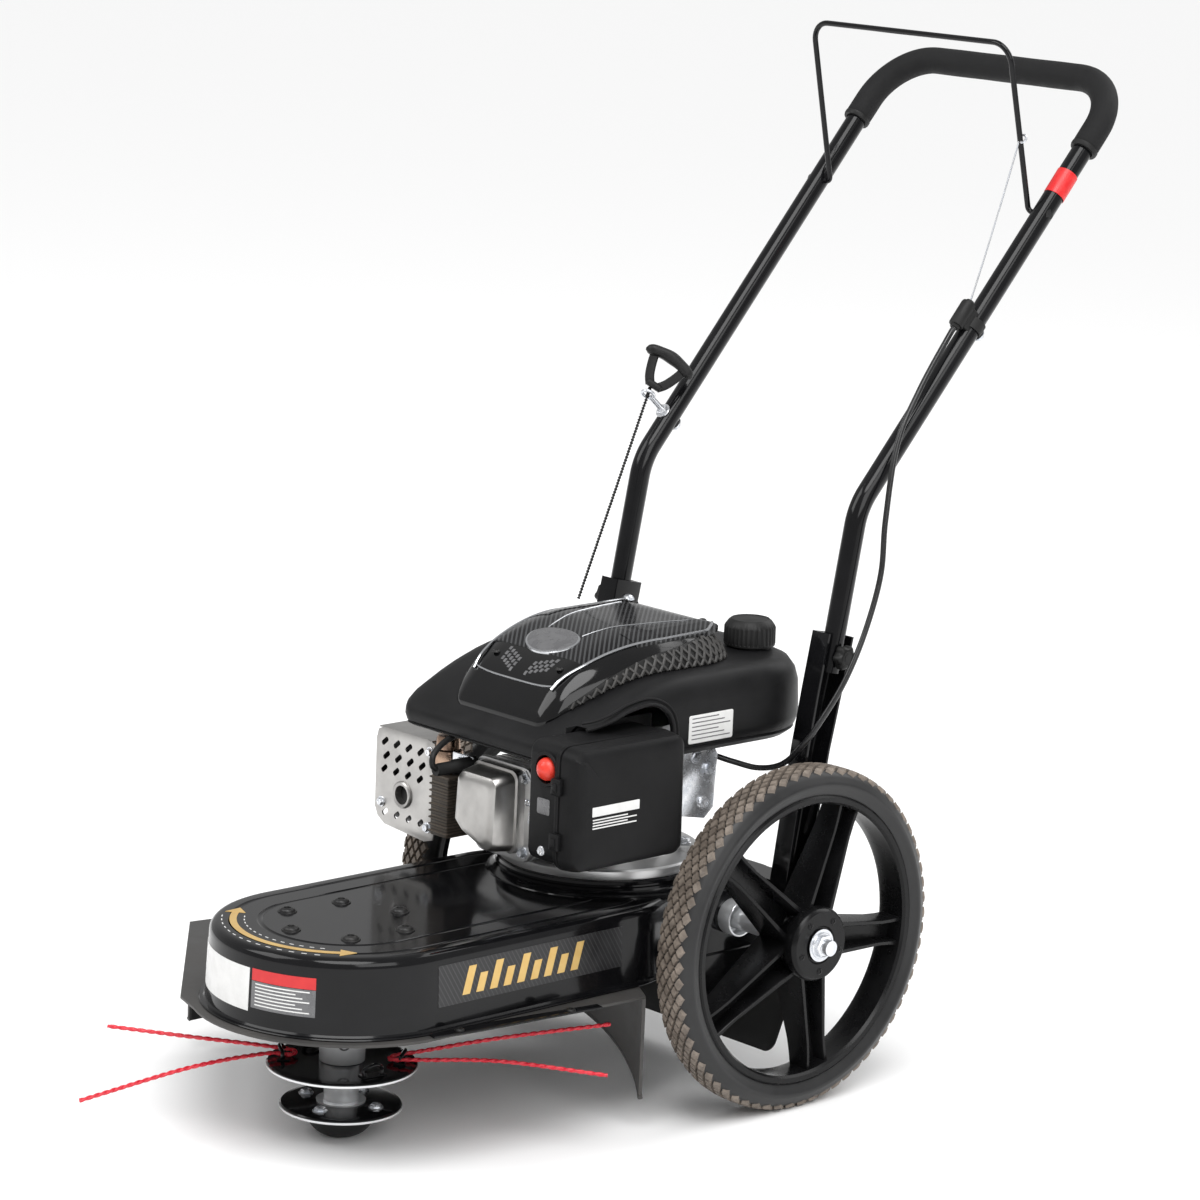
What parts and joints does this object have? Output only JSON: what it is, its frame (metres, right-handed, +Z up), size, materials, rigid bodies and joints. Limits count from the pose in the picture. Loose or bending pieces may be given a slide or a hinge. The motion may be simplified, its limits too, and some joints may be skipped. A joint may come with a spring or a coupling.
{
  "type": "brush mower",
  "caption": "Walk-behind string-trimmer mower: engine on a pressed deck, spinning trimmer head under a guard, spoked wheels and a folding handle with a bail lever.",
  "frame": {"origin": "on the trimmer spindle axis, at the ground, where the skid ball rests", "axes": "+Z is up, -Y is the front of the machine, +Y runs back to the handle, +X is the side of the air filter, which is the operator's left"},
  "size_m": [0.5478, 1.181, 1.0683],
  "materials": {
    "painted_black": "gloss black powder coat",
    "black_plastic": "moulded dark grey-black plastic",
    "gloss_plastic": "polished black plastic with silver trim",
    "zinc": "zinc-plated steel",
    "cast_alloy": "as-cast aluminium alloy",
    "tyre": "black tyre with a block tread",
    "rubber": "black rubber",
    "foam": "closed-cell black foam",
    "red_line": "red twisted nylon line",
    "red_bulb": "red moulded rubber",
    "black_cord": "braided black cord",
    "cable_jacket": "black extruded cable jacket"
  },
  "bodies": {
    "chassis": {"deck_shell": "painted_black", "debris_guard": "black_plastic", "rear_flap": "rubber", "rear_crossmember": "painted_black", "axle": "zinc", "left_spacer_cup": "zinc", "right_spacer_cup": "zinc", "left_wheel_nut": "zinc", "right_wheel_nut": "zinc", "left_upright": "painted_black", "right_upright": "painted_black", "left_pivot_bolt": "zinc", "right_pivot_bolt": "zinc", "spindle_housing": "cast_alloy", "upper_bearing": "zinc", "lower_bearing": "zinc", "drive_belt": "rubber", "idler_arm": "painted_black", "crankcase": "cast_alloy", "cylinder": "cast_alloy", "valve_cover": "zinc", "muffler": "cast_alloy", "muffler_shield": "zinc", "carburettor": "cast_alloy", "air_filter_base": "black_plastic", "blower_housing": "black_plastic", "top_cover": "gloss_plastic", "fuel_tank": "black_plastic", "control_cable": "cable_jacket", "starter_rope": "black_cord"},
    "left_wheel": {"left_tyre": "tyre", "left_rim": "black_plastic"},
    "right_wheel": {"right_tyre": "tyre", "right_rim": "black_plastic"},
    "trimmer_head": {"spindle_shaft": "zinc", "spindle_hub": "zinc", "line_disc": "painted_black", "disc_spacer": "zinc", "lower_disc": "painted_black", "spindle_pulley": "cast_alloy", "front_trimmer_line": "red_line", "rear_trimmer_line": "red_line"},
    "skid": {"skid_ball": "black_plastic"},
    "crank": {"crankshaft": "zinc", "flywheel": "cast_alloy", "engine_pulley": "cast_alloy"},
    "idler": {"idler_pulley": "zinc"},
    "handle": {"handle_tube": "painted_black", "grip_foam": "foam", "cable_clip": "black_plastic", "rope_guide": "zinc", "bail_wire": "zinc"},
    "bail": {"bail": "painted_black"},
    "starter": {"starter_grip": "black_plastic", "rope_end": "black_cord"},
    "left_knob": {"left_knob": "black_plastic"},
    "right_knob": {"right_knob": "black_plastic"},
    "fuel_cap": {"fuel_cap": "black_plastic"},
    "primer": {"primer_bulb": "red_bulb"},
    "air_cover": {"air_filter_cover": "black_plastic"}
  },
  "joints": [
    {"name": "left_wheel_spin", "type": "hinge", "parent": "chassis", "child": "left_wheel", "pos_m": [0.2, 0.425, 0.178], "axis": [1, 0, 0], "continuous": true},
    {"name": "right_wheel_spin", "type": "hinge", "parent": "chassis", "child": "right_wheel", "pos_m": [-0.2, 0.425, 0.178], "axis": [1, 0, 0], "continuous": true},
    {"name": "crank_spin", "type": "hinge", "parent": "chassis", "child": "crank", "pos_m": [0, 0.335, 0.3], "axis": [0, 0, 1], "continuous": true},
    {"name": "head_spin", "type": "hinge", "parent": "chassis", "child": "trimmer_head", "pos_m": [0, 0, 0.0745], "axis": [0, 0, 1], "continuous": true},
    {"name": "idler_spin", "type": "hinge", "parent": "chassis", "child": "idler", "pos_m": [0.0672, 0.17113, 0.164], "axis": [0, 0, 1], "continuous": true},
    {"name": "skid_ball_spin", "type": "hinge", "parent": "trimmer_head", "child": "skid", "pos_m": [0, 0, 0.02], "axis": [0, 0, 1], "continuous": true},
    {"name": "handle_tilt", "type": "hinge", "parent": "chassis", "child": "handle", "pos_m": [0, 0.496, 0.455], "axis": [1, 0, 0], "range_deg": [-8, 8], "deforming": ["control_cable", "starter_rope"]},
    {"name": "bail_squeeze", "type": "hinge", "parent": "handle", "child": "bail", "pos_m": [0, 0.7732, 0.8909], "axis": [-1, 0, 0], "range_deg": [0, 48], "stiffness_Nm_per_rad": 0.6, "springref_deg": -28.65, "deforming": ["bail_wire"]},
    {"name": "starter_pull", "type": "slide", "parent": "handle", "child": "starter", "axis": [-0.2999, 0.5998, 0.7418], "range_m": [0, 0.35], "stiffness_N_per_m": 20, "springref_m": -0.2, "deforming": ["rope_end"]},
    {"name": "left_knob_turn", "type": "hinge", "parent": "chassis", "child": "left_knob", "pos_m": [0.18, 0.496, 0.455], "axis": [1, 0, 0], "range_deg": [0, 360]},
    {"name": "right_knob_turn", "type": "hinge", "parent": "chassis", "child": "right_knob", "pos_m": [-0.18, 0.496, 0.455], "axis": [-1, 0, 0], "range_deg": [0, 360]},
    {"name": "fuel_cap_turn", "type": "hinge", "parent": "chassis", "child": "fuel_cap", "pos_m": [0.064, 0.474, 0.46], "axis": [0, 0, 1], "range_deg": [0, 90]},
    {"name": "primer_press", "type": "slide", "parent": "chassis", "child": "primer", "axis": [0, 1, 0], "range_m": [0, 0.004], "stiffness_N_per_m": 400, "springref_m": -0.001},
    {"name": "air_cover_pull", "type": "slide", "parent": "chassis", "child": "air_cover", "axis": [1, 0, 0], "range_m": [0, 0.04]}
  ],
  "couplings": [
    {"joint": "head_spin", "follows": "crank_spin", "ratio": 0.6718},
    {"joint": "idler_spin", "follows": "crank_spin", "ratio": -1.74}
  ]
}
